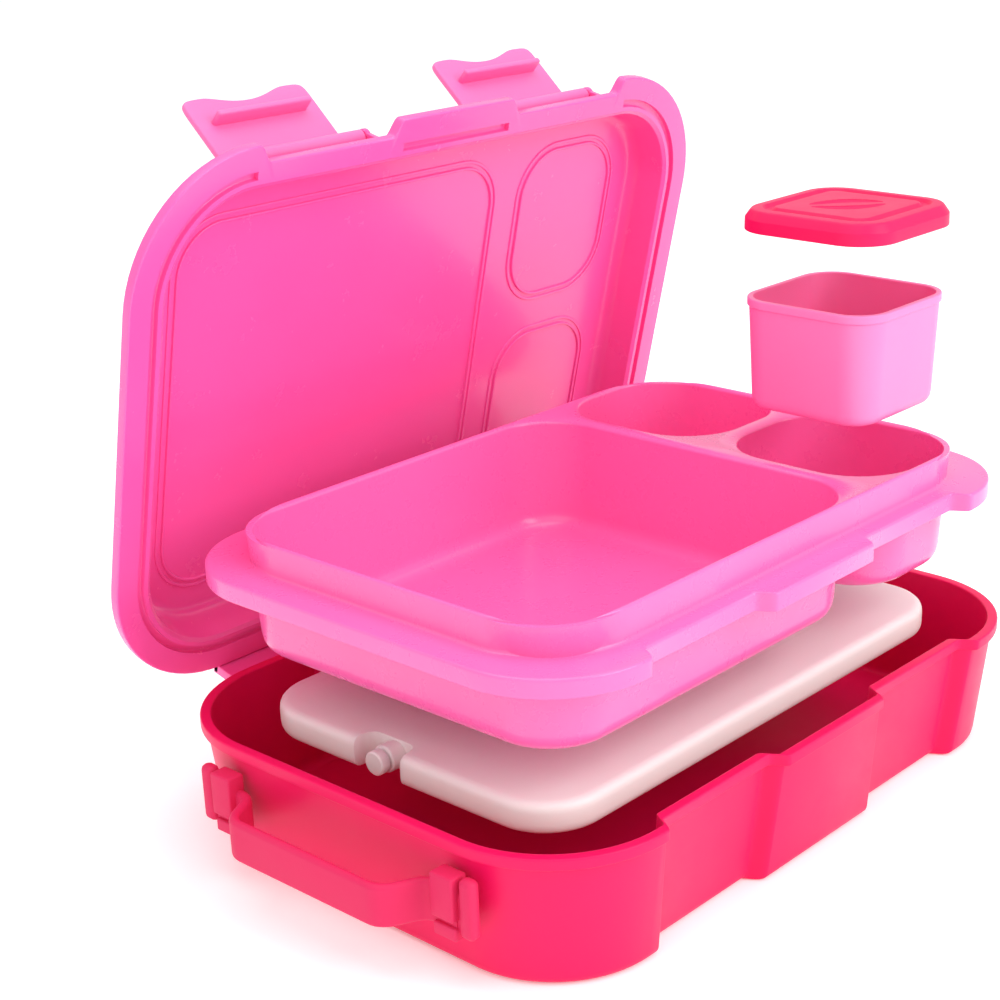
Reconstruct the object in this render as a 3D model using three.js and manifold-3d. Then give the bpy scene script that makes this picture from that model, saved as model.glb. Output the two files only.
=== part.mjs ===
// A children's bento lunch box, shown open with its inner pieces lifted out one above another.
// Millimetres, +Z up, X along the long side with the carry handle at -X, and the latched front at -Y.
// The origin is the middle of the flat underside of the box.

import * as THREE from 'three';
import { mergeVertices } from 'three/addons/utils/BufferGeometryUtils.js';
import Module from 'manifold-3d';

const wasm = await Module();
wasm.setup();

// ---------------------------------------------------------------- driving dimensions

const FIT_GAP = 0.4; // between two pieces that touch
const CORNER_STEPS = 3; // half the facets of a quarter-round corner
const FILLET_STEPS = 2;

const BOX = { halfX: 140, halfY: 98, radius: 46, height: 48.5, wall: 2.3, floor: 2.4, draft: 4.5, foot: 3.5 };
const LIP = { out: 1.6, height: 4 }; // thicker band round the box's rim
const RECESS = { from: 30, to: 90, depth: 6, ease: 5 }; // latch recesses, each side of the middle
const STOP = { deep: 3.2, tall: 9, wide: 12 }; // ribs that the tray's skirt rests on

const HINGE = { y: 104.5, z: 38, pinRadius: 2, boreRadius: 2.3, barrel: 4.3, inner: 42, outer: 98, lug: 4 };

const LID = { over: 2.8, radius: 50, plate: 4, ceiling: 16, wall: 2.2, inset: 14.5, draft: 2.5, shoulder: 7 };
const GROOVE = { from: 8.6, to: 11.6, deep: 2 };
const LID_RIB = { wide: 1.6, tall: 0.9 }; // raised outlines that match the tray's pockets
const LID_OPEN = THREE.MathUtils.degToRad(76.7); // how far the lid stands open at rest

const LATCH = { wide: 55, long: 33.2, thick: 2.6, out: 8.4, barrel: 2.9, pin: 1.4, bore: 1.7, y: 90, z: 15.5 };
const LATCH_HOOK = { down: 20.6, tall: 2.4, reach: 1.4, wide: 42 };
const LATCH_LUG = 2.2;
const LATCH_OPEN = THREE.MathUtils.degToRad(151); // how far each latch is swung up at rest

const PACK = { halfX: 114.5, halfY: 70, radius: 22, tall: 11.2, wall: 1.5, edge: 3.6, seat: 2.8 };
const FILLER = { y: 8, wide: 22, deep: 9, neck: 5, bore: 3.2, plug: 4.4 };

const TRAY = { halfX: 132.4, halfY: 91.6, radius: 38, plate: 2, skirt: 6.6, seat: 48 };
const RISER = { halfX: 120, halfY: 78.5, radius: 34, height: 11, wall: 2, draft: 1 };
const POCKET = { land: 3, divider: 6, split: 50, depth: 42.8, wall: 1.8, draft: 3, foot: 5.5, radius: 24 };

const CUP = { half: 28.4, radius: 13, tall: 41.5, wall: 1.6, draft: 1.8, foot: 5, lip: 0.6, lipTall: 3 };
const CUP_LID = { half: 29.3, radius: 14, skirt: 5, top: 2, wall: 1.1, panel: 19, panelTall: 0.8 };

const HANDLE = { z: 27, tall: 15, thick: 3.6, gripX: 156.2, gripHalfY: 30, endHalfY: 59.5, tongueX: 141.9 };
const HANDLE_END = { wide: 6.4, tall: 21, thick: 5, rise: 3 };
const KEEPER = { inner: 47, outer: 56.8, back: 139.9, wall: 2.4, low: 17.5, high: 40, slit: 2.2 };

// Heights of each lifted piece above its seat.
const LIFT = { pack: 38, tray: 56.4, cup: 58, cupLid: 29 };

// ---------------------------------------------------------------- materials

const plastic = (color, roughness) => new THREE.MeshStandardMaterial({ color, roughness, metalness: 0 });
const cherryPink = plastic(0xe0084e, 0.35);
const softCherry = plastic(0xd8305f, 0.5);
const candyPink = plastic(0xff6fae, 0.3);
const palePink = plastic(0xff8fc4, 0.35);
const latchPink = plastic(0xff5f9f, 0.4);
const frostedWhite = plastic(0xefd9d4, 0.45);
const coolGel = plastic(0xdfe9ef, 0.3);

// ---------------------------------------------------------------- solids

function toSolid(geometry) {
  const bare = geometry.index ? geometry.toNonIndexed() : geometry.clone();
  bare.deleteAttribute('normal');
  bare.deleteAttribute('uv');
  const merged = mergeVertices(bare, 1e-4);
  const mesh = new wasm.Mesh({
    numProp: 3,
    vertProperties: new Float32Array(merged.getAttribute('position').array),
    triVerts: new Uint32Array(merged.index.array),
  });
  return new wasm.Manifold(mesh);
}

function toGeometry(solid) {
  const mesh = solid.getMesh();
  const geometry = new THREE.BufferGeometry();
  geometry.setAttribute('position', new THREE.BufferAttribute(mesh.vertProperties, 3));
  geometry.setIndex(new THREE.BufferAttribute(mesh.triVerts, 1));
  geometry.computeVertexNormals();
  return geometry;
}

const join = (first, ...others) => others.reduce((whole, piece) => whole.add(piece), first);
const cut = (first, ...others) => others.reduce((whole, piece) => whole.subtract(piece), first);

function named(name, solid, material) {
  const mesh = new THREE.Mesh(toGeometry(solid), material);
  mesh.name = name;
  return mesh;
}

// A box from its lowest corner to its highest.
function block(low, high) {
  const size = high.map((value, axis) => value - low[axis]);
  const geometry = new THREE.BoxGeometry(...size);
  geometry.translate(...low.map((value, axis) => value + size[axis] / 2));
  return toSolid(geometry);
}

// A round bar along X, from x0 to x1, with its centre line at y and z.
function barX(radius, x0, x1, y, z, facets = 12) {
  const geometry = new THREE.CylinderGeometry(radius, radius, x1 - x0, facets);
  geometry.rotateZ(Math.PI / 2);
  geometry.translate((x0 + x1) / 2, y, z);
  return toSolid(geometry);
}

// ---------------------------------------------------------------- outlines and moulded forms

// A rounded rectangle about the origin. With notched, the front has the two latch recesses.
function outline(halfX, halfY, radius, notched = false) {
  const shape = new THREE.Shape();
  shape.moveTo(-halfX + radius, -halfY);
  if (notched) {
    for (const side of [-1, 1]) {
      const ends = side < 0 ? [-RECESS.to, -RECESS.from] : [RECESS.from, RECESS.to];
      const half = RECESS.ease / 2;
      const inner = -halfY + RECESS.depth;
      shape.lineTo(ends[0] - half, -halfY);
      shape.bezierCurveTo(ends[0], -halfY, ends[0], inner, ends[0] + half, inner);
      shape.lineTo(ends[1] - half, inner);
      shape.bezierCurveTo(ends[1], inner, ends[1], -halfY, ends[1] + half, -halfY);
    }
  }
  shape.lineTo(halfX - radius, -halfY);
  shape.absarc(halfX - radius, -halfY + radius, radius, -Math.PI / 2, 0);
  shape.absarc(halfX - radius, halfY - radius, radius, 0, Math.PI / 2);
  shape.absarc(-halfX + radius, halfY - radius, radius, Math.PI / 2, Math.PI);
  shape.absarc(-halfX + radius, -halfY + radius, radius, Math.PI, 1.5 * Math.PI);
  return { shape, halfX, halfY };
}

// An upright solid on an outline. Each level of the profile is [height, inset of the outline there].
function moulded({ shape, halfX, halfY }, profile) {
  const steps = profile.length - 1;
  const options = { depth: steps, steps, bevelEnabled: false, curveSegments: CORNER_STEPS };
  const geometry = new THREE.ExtrudeGeometry(shape, options);
  const position = geometry.getAttribute('position');
  for (let i = 0; i < position.count; i += 1) {
    const [z, inset] = profile[Math.round(position.getZ(i))];
    const x = position.getX(i) * (1 - inset / halfX);
    const y = position.getY(i) * (1 - inset / halfY);
    position.setXYZ(i, x, y, z);
  }
  return toSolid(geometry);
}

// Levels of a side wall that leans out as it rises, with a rounded foot of the given radius.
function leaningWall(bottom, top, lean, foot, extra = 0) {
  const inset = (z) => extra + (lean * (top - z)) / (top - bottom);
  const levels = [];
  for (let i = 0; i <= FILLET_STEPS; i += 1) {
    const turn = (i / FILLET_STEPS) * (Math.PI / 2);
    const z = bottom + foot * (1 - Math.cos(turn));
    levels.push([z, inset(z) + foot * (1 - Math.sin(turn))]);
  }
  levels.push([top, inset(top)]);
  return levels;
}

// A straight-sided ring between two insets of one outline.
function ring(form, low, high, outerInset, innerInset) {
  const outer = moulded(form, [[low, outerInset], [high, outerInset]]);
  const inner = moulded(form, [[low - 1, innerInset], [high + 1, innerInset]]);
  return cut(outer, inner);
}

// ---------------------------------------------------------------- box

function hingeLugs() {
  const lugs = [];
  for (const side of [-1, 1]) {
    for (const x of [HINGE.inner, HINGE.outer - HINGE.lug]) {
      const x0 = side > 0 ? x : -x - HINGE.lug;
      const x1 = x0 + HINGE.lug;
      const eye = barX(HINGE.barrel, x0, x1, HINGE.y, HINGE.z);
      const wallY = BOX.halfY - LIP.out - BOX.wall;
      const web = block([x0, wallY, HINGE.z - HINGE.barrel - 6], [x1, HINGE.y, HINGE.z + 2]);
      const slope = block([x0 - 1, 0, -20], [x1 + 1, 30, 0]);
      const under = slope.rotate([42, 0, 0]).translate([0, wallY, HINGE.z - HINGE.barrel - 5.9]);
      lugs.push(join(eye, cut(web, under)));
    }
  }
  return join(...lugs);
}

function trayStops() {
  const top = TRAY.seat - TRAY.skirt - FIT_GAP;
  const places = [
    [0, -1, 0], [-60, 1, 0], [60, 1, 0], [0, 1, 0],
    [-1, -30, 1], [-1, 30, 1], [1, -30, 1], [1, 30, 1],
  ];
  return places.map(([a, b, onShortSide]) => {
    const reachX = BOX.halfX - LIP.out - BOX.wall + 0.6;
    const reachY = BOX.halfY - LIP.out - BOX.wall + 0.6;
    const half = STOP.wide / 2;
    const x = onShortSide ? a * reachX - (a > 0 ? STOP.deep : 0) : a - half;
    const y = onShortSide ? b - half : b * reachY - (b > 0 ? STOP.deep : 0);
    const size = onShortSide ? [STOP.deep, STOP.wide] : [STOP.wide, STOP.deep];
    return block([x, y, top - STOP.tall], [x + size[0], y + size[1], top]);
  });
}

function boxShell() {
  const form = outline(BOX.halfX - LIP.out, BOX.halfY - LIP.out, BOX.radius - LIP.out, true);
  const outer = moulded(form, leaningWall(0, BOX.height, BOX.draft, BOX.foot));
  const inner = moulded(form, leaningWall(BOX.floor, BOX.height + 1, BOX.draft, BOX.foot, BOX.wall));
  const band = outline(BOX.halfX, BOX.halfY, BOX.radius, true);
  const lip = moulded(band, [[BOX.height - LIP.height, 0], [BOX.height - 0.8, 0], [BOX.height, 0.8]]);
  const keeperFeet = [-1, 1].map((side) => {
    const y = [side * KEEPER.inner, side * KEEPER.outer].sort((a, b) => a - b);
    return block([-KEEPER.back, y[0] + 1, KEEPER.low + 1], [-KEEPER.back + 6, y[1] - 1, KEEPER.high - 1]);
  });
  const walls = join(outer, lip, hingeLugs(), ...keeperFeet);
  const bored = cut(walls, inner, barX(HINGE.boreRadius, -HINGE.outer - 1, HINGE.outer + 1, HINGE.y, HINGE.z));
  return join(bored, ...trayStops().map((stop) => stop.intersect(outer)));
}

function hingePin(side) {
  const ends = [side * (HINGE.inner - 0.5), side * (HINGE.outer + 0.5)].sort((a, b) => a - b);
  return barX(HINGE.pinRadius, ends[0], ends[1], HINGE.y, HINGE.z);
}

// ---------------------------------------------------------------- carry handle

function handleStrap() {
  const low = HANDLE.z - HANDLE.tall / 2;
  const path = new THREE.CurvePath();
  const point = (x, y) => new THREE.Vector3(-x, y, 0);
  const bend = (...corners) => path.add(new THREE.CubicBezierCurve3(...corners.map((c) => point(...c))));
  const line = (a, b) => path.add(new THREE.LineCurve3(point(...a), point(...b)));
  const { gripX, gripHalfY, endHalfY, tongueX } = HANDLE;
  const rear = [tongueX, KEEPER.inner - 1];
  line([tongueX, endHalfY], rear);
  bend(rear, [tongueX, gripHalfY + 7], [gripX, gripHalfY + 10], [gripX, gripHalfY]);
  line([gripX, gripHalfY], [gripX, -gripHalfY]);
  const front = [tongueX, -KEEPER.inner + 1];
  bend([gripX, -gripHalfY], [gripX, -gripHalfY - 10], [tongueX, -gripHalfY - 7], front);
  line(front, [tongueX, -endHalfY]);
  const points = path.getSpacedPoints(34).map((p) => new THREE.Vector2(p.x, p.y));
  const half = HANDLE.thick / 2;
  const sideOf = (sign) => points.map((p, i) => {
    const before = points[Math.max(i - 1, 0)];
    const after = points[Math.min(i + 1, points.length - 1)];
    const along = after.clone().sub(before).normalize();
    return new THREE.Vector2(p.x - sign * along.y * half, p.y + sign * along.x * half);
  });
  const section = new THREE.Shape([...sideOf(1), ...sideOf(-1).reverse()]);
  const strap = new THREE.ExtrudeGeometry(section, { depth: HANDLE.tall, bevelEnabled: false });
  strap.translate(0, 0, low);
  const ends = [-1, 1].map((side) => {
    const y = [side * (endHalfY - 2), side * (endHalfY + HANDLE_END.wide - 2)].sort((a, b) => a - b);
    const centre = HANDLE.z + HANDLE_END.rise;
    return block(
      [-tongueX - HANDLE_END.thick / 2 - 1, y[0], centre - HANDLE_END.tall / 2],
      [-tongueX + HANDLE.thick / 2 - 0.2, y[1], centre + HANDLE_END.tall / 2],
    );
  });
  return join(toSolid(strap), ...ends);
}

function keeper(side) {
  const y = [side * KEEPER.inner, side * KEEPER.outer].sort((a, b) => a - b);
  const half = HANDLE.thick / 2 + FIT_GAP;
  const front = HANDLE.tongueX + half + KEEPER.wall;
  const body = block([-front, y[0], KEEPER.low], [-KEEPER.back - FIT_GAP, y[1], KEEPER.high]);
  const tongue = block(
    [-HANDLE.tongueX - half, y[0] - 1, HANDLE.z - HANDLE.tall / 2 - FIT_GAP],
    [-HANDLE.tongueX + half, y[1] + 1, HANDLE.z + HANDLE.tall / 2 + FIT_GAP],
  );
  const slitTop = HANDLE.z - HANDLE.tall / 2 + 5;
  const slit = block([-front - 1, y[0] - 1, slitTop - KEEPER.slit], [-HANDLE.tongueX, y[1] - 1.6, slitTop]);
  return cut(body, tongue, slit);
}

// ------------------------------------------------ lid, drawn shut with its rim plane at z = 0

const lidHalfX = BOX.halfX + LID.over;
const lidHalfY = BOX.halfY + LID.over;

function pocketOutlines(grow = 0) {
  const { land, divider, split, radius } = POCKET;
  const left = -RISER.halfX + land;
  const right = RISER.halfX - land;
  const back = RISER.halfY - land;
  const middle = divider / 2;
  const areas = [
    [left, split - middle, -back, back],
    [split + middle, right, -back, -middle],
    [split + middle, right, middle, back],
  ];
  return areas.map(([x0, x1, y0, y1]) => ({
    centre: [(x0 + x1) / 2, (y0 + y1) / 2],
    form: outline((x1 - x0) / 2 + grow, (y1 - y0) / 2 + grow, radius + grow),
  }));
}

function lidShell() {
  const rim = outline(lidHalfX, lidHalfY, LID.radius, true);
  const plain = outline(lidHalfX, lidHalfY, LID.radius);
  const plate = moulded(rim, [[0, 0.6], [0.6, 0], [LID.plate - 0.8, 0], [LID.plate, 0.8]]);
  const top = LID.ceiling + LID.wall;
  const crown = (height, side, shoulder) => {
    const levels = [[0, side], [height - shoulder, side + LID.draft]];
    for (let i = 1; i <= FILLET_STEPS; i += 1) {
      const turn = (i / FILLET_STEPS) * (Math.PI / 2);
      const z = height - shoulder + shoulder * Math.sin(turn);
      levels.push([z, side + LID.draft + shoulder * (1 - Math.cos(turn))]);
    }
    return levels;
  };
  const dome = moulded(plain, crown(top, LID.inset - LID.wall, LID.shoulder));
  const hollow = moulded(plain, [[-1, LID.inset], ...crown(LID.ceiling, LID.inset, LID.shoulder - 1)]);
  const channel = ring(plain, -1, GROOVE.deep, GROOVE.from, GROOVE.to);
  const away = [-1, 1].map((side) => {
    const ends = [side * (RECESS.from - 3), side * (RECESS.to + 3)].sort((a, b) => a - b);
    return block([ends[0], -lidHalfY, -2], [ends[1], -lidHalfY + 20, LID.plate]);
  });
  const knuckles = [-1, 1].map((side) => {
    const gap = FIT_GAP + HINGE.lug;
    const ends = [side * (HINGE.inner + gap), side * (HINGE.outer - gap)].sort((a, b) => a - b);
    const z = HINGE.z - BOX.height - FIT_GAP;
    const barrel = barX(HINGE.barrel, ends[0], ends[1], HINGE.y, z);
    const leaf = block([ends[0], HINGE.y - 3.6, z], [ends[1], HINGE.y + 0.6, LID.plate - 0.5]);
    const bridge = block([ends[0], lidHalfY - 2, 0.8], [ends[1], HINGE.y, LID.plate - 0.5]);
    const bore = barX(HINGE.boreRadius, ends[0] - 1, ends[1] + 1, HINGE.y, z);
    return cut(join(barrel, leaf, bridge), bore);
  });
  const lugs = [-1, 1].flatMap((side) => {
    const middle = (side * (RECESS.from + RECESS.to)) / 2;
    const half = LATCH.wide / 2 + FIT_GAP;
    return [middle - half - LATCH_LUG, middle + half].map((x) => {
      const eye = barX(LATCH.barrel, x, x + LATCH_LUG, -LATCH.y, LATCH.z);
      const foot = [x + LATCH_LUG, -lidHalfY + LID.inset + 0.6, LATCH.z + 1];
      return join(eye, block([x, -LATCH.y - LATCH.barrel + 0.8, 2], foot));
    });
  });
  const outlines = pocketOutlines(0).map(({ form, centre }) => {
    const rib = ring(form, LID.ceiling - LID_RIB.tall, LID.ceiling + 0.5, 4, 4 + LID_RIB.wide);
    return rib.translate([centre[0], centre[1], 0]);
  });
  const latchBores = barX(LATCH.bore, -lidHalfX, lidHalfX, -LATCH.y, LATCH.z);
  const shell = cut(join(plate, dome), hollow, cut(channel, ...away));
  return cut(join(shell, ...knuckles, ...lugs, ...outlines), latchBores);
}

// ------------------------------------------------ latch, drawn hanging from its pin at the origin

function latch() {
  const half = LATCH.wide / 2;
  const corner = 9;
  const dip = 3.4;
  const top = LATCH.thick / 2;
  const shape = new THREE.Shape();
  shape.moveTo(-half, top);
  shape.lineTo(-half, -LATCH.long + corner);
  shape.quadraticCurveTo(-half, -LATCH.long, -half + corner, -LATCH.long);
  shape.bezierCurveTo(-half / 2, -LATCH.long, -half / 3, -LATCH.long + dip, 0, -LATCH.long + dip);
  shape.bezierCurveTo(half / 3, -LATCH.long + dip, half / 2, -LATCH.long, half - corner, -LATCH.long);
  shape.quadraticCurveTo(half, -LATCH.long, half, -LATCH.long + corner);
  shape.lineTo(half, top);
  const plate = new THREE.ExtrudeGeometry(shape, { depth: LATCH.thick, bevelEnabled: false, curveSegments: 4 });
  plate.rotateX(Math.PI / 2);
  plate.translate(0, -LATCH.out + LATCH.thick / 2, 0);
  const arm = block([-half, -LATCH.out, top - LATCH.thick], [half, 0, top]);
  const barrel = barX(LATCH.barrel, -half, half, 0, 0);
  const hook = block(
    [-LATCH_HOOK.wide / 2, -LATCH.out, -LATCH_HOOK.down - LATCH_HOOK.tall],
    [LATCH_HOOK.wide / 2, -LATCH_HOOK.reach, -LATCH_HOOK.down],
  );
  const bore = barX(LATCH.bore, -half - 1, half + 1, 0, 0);
  return cut(join(toSolid(plate), arm, barrel, hook), bore);
}

const latchPin = () => {
  const half = LATCH.wide / 2 + FIT_GAP + LATCH_LUG - 0.3;
  return barX(LATCH.pin, -half, half, 0, 0);
};

// ------------------------------------------------ cold pack, drawn with its underside at z = 0

function packForm(shrink) {
  return outline(PACK.halfX - shrink, PACK.halfY - shrink, PACK.radius - shrink);
}

function pillow(form, low, high, edge, extra) {
  const levels = [];
  for (let i = 0; i <= FILLET_STEPS; i += 1) {
    const turn = (i / FILLET_STEPS) * (Math.PI / 2);
    levels.push([low + edge * (1 - Math.cos(turn)), extra + edge * (1 - Math.sin(turn))]);
  }
  for (let i = 0; i <= FILLET_STEPS; i += 1) {
    const turn = (i / FILLET_STEPS) * (Math.PI / 2);
    levels.push([high - edge * (1 - Math.sin(turn)), extra + edge * (1 - Math.cos(turn))]);
  }
  return moulded(form, levels);
}

function fillerBar(radius, x0, x1) {
  return barX(radius, x0, x1, FILLER.y, PACK.tall / 2, 12);
}

function packNotch(grow) {
  const x = -PACK.halfX - 1;
  const half = FILLER.wide / 2 + grow;
  return block([x, FILLER.y - half, -1], [-PACK.halfX + FILLER.deep + grow, FILLER.y + half, PACK.tall + 1]);
}

function packShell() {
  const skin = cut(pillow(packForm(0), 0, PACK.tall, PACK.edge, 0), packNotch(0));
  const inside = pillow(packForm(PACK.wall), PACK.wall, PACK.tall - PACK.wall, PACK.edge - 1, 0);
  const neck = fillerBar(FILLER.neck, -PACK.halfX + 3, -PACK.halfX + FILLER.deep + 1);
  const hollow = cut(inside, packNotch(PACK.wall));
  const mouth = fillerBar(FILLER.bore, -PACK.halfX, -PACK.halfX + FILLER.deep + PACK.wall + 2);
  return cut(join(skin, neck), hollow, mouth);
}

function packGel() {
  const gap = PACK.wall + FIT_GAP;
  const inside = pillow(packForm(gap), gap, PACK.tall - gap, PACK.edge - 1, 0);
  return cut(inside, packNotch(gap + 3));
}

function packPlug() {
  const head = fillerBar(FILLER.plug, -PACK.halfX - 1.6, -PACK.halfX + 3 - FIT_GAP);
  const stem = fillerBar(FILLER.bore - FIT_GAP, -PACK.halfX + 1, -PACK.halfX + FILLER.deep + 1);
  return join(head, stem);
}

// ------------------------------------------------ tray, drawn with its flange's top at z = 0

function tray() {
  const flange = outline(TRAY.halfX, TRAY.halfY, TRAY.radius, true);
  const plate = moulded(flange, [[-TRAY.plate, 0], [-0.7, 0], [0, 0.7]]);
  const skirt = ring(flange, -TRAY.skirt, -TRAY.plate + 0.2, 0, TRAY.plate);
  const rise = outline(RISER.halfX, RISER.halfY, RISER.radius);
  const { height, wall, draft } = RISER;
  const riser = moulded(rise, [[-TRAY.plate, 0], [height - 0.8, draft], [height, draft + 0.8]]);
  const under = moulded(rise, [[-TRAY.plate - 1, wall], [height - wall, wall + draft]]);
  const floor = height - POCKET.depth;
  const outsides = pocketOutlines(0).map(({ form, centre }) => {
    const levels = leaningWall(floor - POCKET.wall, height - 0.4, POCKET.draft, POCKET.foot, -POCKET.wall);
    return moulded(form, levels).translate([centre[0], centre[1], 0]);
  });
  const insides = pocketOutlines(0).map(({ form, centre }) => {
    const levels = leaningWall(floor, height + 1, POCKET.draft, POCKET.foot - 1.5);
    return moulded(form, levels).translate([centre[0], centre[1], 0]);
  });
  return cut(join(cut(join(plate, skirt, riser), under), ...outsides), ...insides);
}

// ------------------------------------------------ cup and its lid, drawn with their undersides at z = 0

function cup() {
  const form = outline(CUP.half, CUP.half, CUP.radius);
  const outer = moulded(form, leaningWall(0, CUP.tall, CUP.draft, CUP.foot));
  const lip = moulded(outline(CUP.half + CUP.lip, CUP.half + CUP.lip, CUP.radius + CUP.lip), [
    [CUP.tall - CUP.lipTall, CUP.lip * 0.4],
    [CUP.tall - 1, 0],
    [CUP.tall, 0.6],
  ]);
  const inner = moulded(form, leaningWall(CUP.wall, CUP.tall + 1, CUP.draft, CUP.foot - 1.4, CUP.wall));
  return cut(join(outer, lip), inner);
}

function cupLid() {
  const { half, radius, skirt, top, wall, panel, panelTall } = CUP_LID;
  const form = outline(half + wall, half + wall, radius + wall);
  const height = skirt + top;
  const outer = moulded(form, [[0, 0], [height - 2.2, 0.3], [height - 0.8, 1.1], [height, 2.8]]);
  const inner = moulded(form, [[-1, wall], [skirt, wall]]);
  const raised = moulded(outline(panel, panel, radius - 5), [[height - 1, 0], [height + panelTall, 1.4]]);
  const grips = [-1, 1].map((side) => {
    const scoop = new THREE.SphereGeometry(10, 12, 6);
    scoop.scale(1.45, 0.42, 0.16);
    scoop.rotateZ(Math.PI / 4);
    scoop.translate(side * 5.2, -side * 5.2, height + panelTall + 0.2);
    return toSolid(scoop);
  });
  return cut(join(outer, raised), inner, ...grips);
}

// ---------------------------------------------------------------- assembly

const lunchBox = new THREE.Group();

lunchBox.add(named('base_shell', boxShell(), cherryPink));
lunchBox.add(named('hinge_pin_left', hingePin(-1), cherryPink));
lunchBox.add(named('hinge_pin_right', hingePin(1), cherryPink));
lunchBox.add(named('carry_handle', handleStrap(), softCherry));
lunchBox.add(named('handle_keeper_front', keeper(-1), softCherry));
lunchBox.add(named('handle_keeper_rear', keeper(1), softCherry));

// The lid turns about the hinge pins, so its group stands on their axis.
const lidGroup = new THREE.Group();
lidGroup.position.set(0, HINGE.y, HINGE.z);
lidGroup.rotation.x = -LID_OPEN;
const lidInner = new THREE.Group();
lidInner.position.set(0, -HINGE.y, BOX.height + FIT_GAP - HINGE.z);
lidInner.add(named('lid_shell', lidShell(), candyPink));
for (const [name, side] of [['left', -1], ['right', 1]]) {
  const middle = (side * (RECESS.from + RECESS.to)) / 2;
  const pivot = new THREE.Group();
  pivot.position.set(middle, -LATCH.y, LATCH.z);
  pivot.add(named(`latch_pin_${name}`, latchPin(), latchPink));
  const flap = named(`latch_${name}`, latch(), latchPink);
  flap.rotation.x = -LATCH_OPEN;
  pivot.add(flap);
  lidInner.add(pivot);
}
lidGroup.add(lidInner);
lunchBox.add(lidGroup);

function lifted(height, ...meshes) {
  const group = new THREE.Group();
  group.position.z = height;
  group.add(...meshes);
  return group;
}

lunchBox.add(lifted(
  PACK.seat + LIFT.pack,
  named('cold_pack_shell', packShell(), frostedWhite),
  named('cold_pack_gel', packGel(), coolGel),
  named('cold_pack_plug', packPlug(), frostedWhite),
));
lunchBox.add(lifted(TRAY.seat + LIFT.tray, named('tray', tray(), palePink)));

const [, cupPocket] = pocketOutlines();
const cupSeat = TRAY.seat + RISER.height - POCKET.depth + FIT_GAP;
const cupGroup = lifted(cupSeat + LIFT.tray + LIFT.cup, named('dip_cup', cup(), palePink));
const cupLidSeat = cupSeat + CUP.tall - CUP_LID.skirt + FIT_GAP;
const cupLidHeight = cupLidSeat + LIFT.tray + LIFT.cup + LIFT.cupLid;
const cupLidGroup = lifted(cupLidHeight, named('dip_cup_lid', cupLid(), cherryPink));
for (const group of [cupGroup, cupLidGroup]) {
  group.position.x = cupPocket.centre[0];
  group.position.y = cupPocket.centre[1];
  lunchBox.add(group);
}

export default lunchBox;
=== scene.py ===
"""A child's bento lunch box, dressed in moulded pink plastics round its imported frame.

Every length below is in millimetres unless its name says otherwise; the meshes are made in metres.
"""

import logging
import math
from dataclasses import dataclass
from enum import Enum
from typing import Sequence

import bmesh
import bpy
from mathutils import Matrix, Vector


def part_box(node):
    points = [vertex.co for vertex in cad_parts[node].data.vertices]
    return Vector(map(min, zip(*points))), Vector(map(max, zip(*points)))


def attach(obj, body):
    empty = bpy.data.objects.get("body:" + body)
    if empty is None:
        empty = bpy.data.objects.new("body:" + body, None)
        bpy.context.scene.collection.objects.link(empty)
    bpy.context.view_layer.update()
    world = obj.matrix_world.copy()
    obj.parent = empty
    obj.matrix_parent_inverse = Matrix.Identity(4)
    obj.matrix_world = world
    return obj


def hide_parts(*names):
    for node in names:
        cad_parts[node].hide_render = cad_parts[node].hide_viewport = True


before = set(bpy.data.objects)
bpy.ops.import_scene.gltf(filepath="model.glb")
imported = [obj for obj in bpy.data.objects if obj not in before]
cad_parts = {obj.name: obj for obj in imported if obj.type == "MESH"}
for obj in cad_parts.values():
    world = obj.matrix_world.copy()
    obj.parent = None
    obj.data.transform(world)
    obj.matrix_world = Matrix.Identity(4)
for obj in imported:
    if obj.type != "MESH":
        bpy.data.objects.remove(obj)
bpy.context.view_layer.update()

LOG = logging.getLogger("lunch_box")

Point2 = tuple[float, float]
Ring = list[tuple[float, float, float]]
Corner = tuple[float, float, float]

MM = 0.001
ARC_STEPS = 18  # facets of a quarter-round corner
EASE_STEPS = 8  # facets of the S-shaped side of a latch recess
FILLET_STEPS = 5
BAR_FACETS = 40
WELD_MM = 0.002
SHARP_ANGLE = math.radians(38)

RECESS_FROM, RECESS_TO, RECESS_DEEP, RECESS_EASE = 30.0, 90.0, 6.0, 5.0
HINGE_Y, HINGE_Z = 104.5, 38.0
LID_SEAT = 48.9  # height of the shut lid's rim plane
LID_OPEN = math.radians(76.7)
LATCH_Y, LATCH_Z = -90.0, 15.5  # latch pivot on the shut lid, from its rim plane
LATCH_OPEN = math.radians(151)
LATCH_MIDDLES = {"left": -60.0, "right": 60.0}


class Slot(Enum):
    """Material slots of the record that the pieces take their finish from."""

    BASE = "base_plastic"
    HANDLE = "handle_rubber"
    LID = "lid_plastic"
    LATCH = "latch_plastic"
    PACK = "pack_plastic"
    GEL = "pack_gel"
    TRAY = "tray_plastic"
    CUP = "cup_plastic"
    CUP_LID = "cup_lid_plastic"


# --- finishes


def linear(hex_colour: str, alpha: float = 1.0) -> tuple[float, float, float, float]:
    """Turns an sRGB hex colour into Blender's linear values.

    Args:
        hex_colour: six hex digits, such as "ff6fae".
        alpha: opacity to append.

    Returns:
        Linear red, green, blue and alpha.
    """
    channels = [int(hex_colour[i : i + 2], 16) / 255 for i in (0, 2, 4)]
    curve = [c / 12.92 if c <= 0.04045 else ((c + 0.055) / 1.055) ** 2.4 for c in channels]
    return (curve[0], curve[1], curve[2], alpha)


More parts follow.
